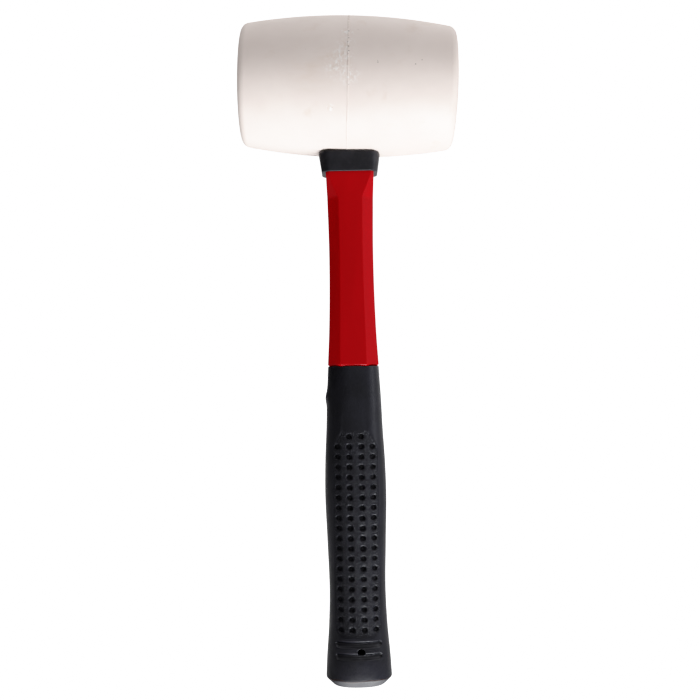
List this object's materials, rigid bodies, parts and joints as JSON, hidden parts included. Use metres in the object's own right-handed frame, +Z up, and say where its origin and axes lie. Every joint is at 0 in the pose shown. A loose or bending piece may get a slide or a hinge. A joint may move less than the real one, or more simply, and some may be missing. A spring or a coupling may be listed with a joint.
{
  "type": "rubber mallet",
  "caption": "Mallet with a white rubber barrel head, a black collar, a red eight-sided jacketed shaft and a black dimpled rubber grip, for tapping paving and blocks without marking them.",
  "frame": {"origin": "centre of the flat end of the butt, on the axis of the handle", "axes": "+Z up the handle towards the head, X along the striking axis of the head, -Y out of the broad front face of the handle"},
  "size_m": [0.1112, 0.0708, 0.3387],
  "materials": {
    "white_rubber": "matt moulded white rubber, slightly mottled",
    "glass_fibre": "sawn end of a glass-fibre rod",
    "red_plastic": "satin moulded red plastic",
    "black_collar_rubber": "matt black rubber",
    "black_grip_rubber": "satin black rubber, finely stippled on the panels",
    "cured_resin": "cured amber resin"
  },
  "bodies": {
    "root": {"head": "white_rubber", "shaft_core": "glass_fibre", "shaft_jacket": "red_plastic", "collar": "black_collar_rubber", "grip": "black_grip_rubber", "eye_epoxy": "cured_resin"}
  },
  "joints": []
}
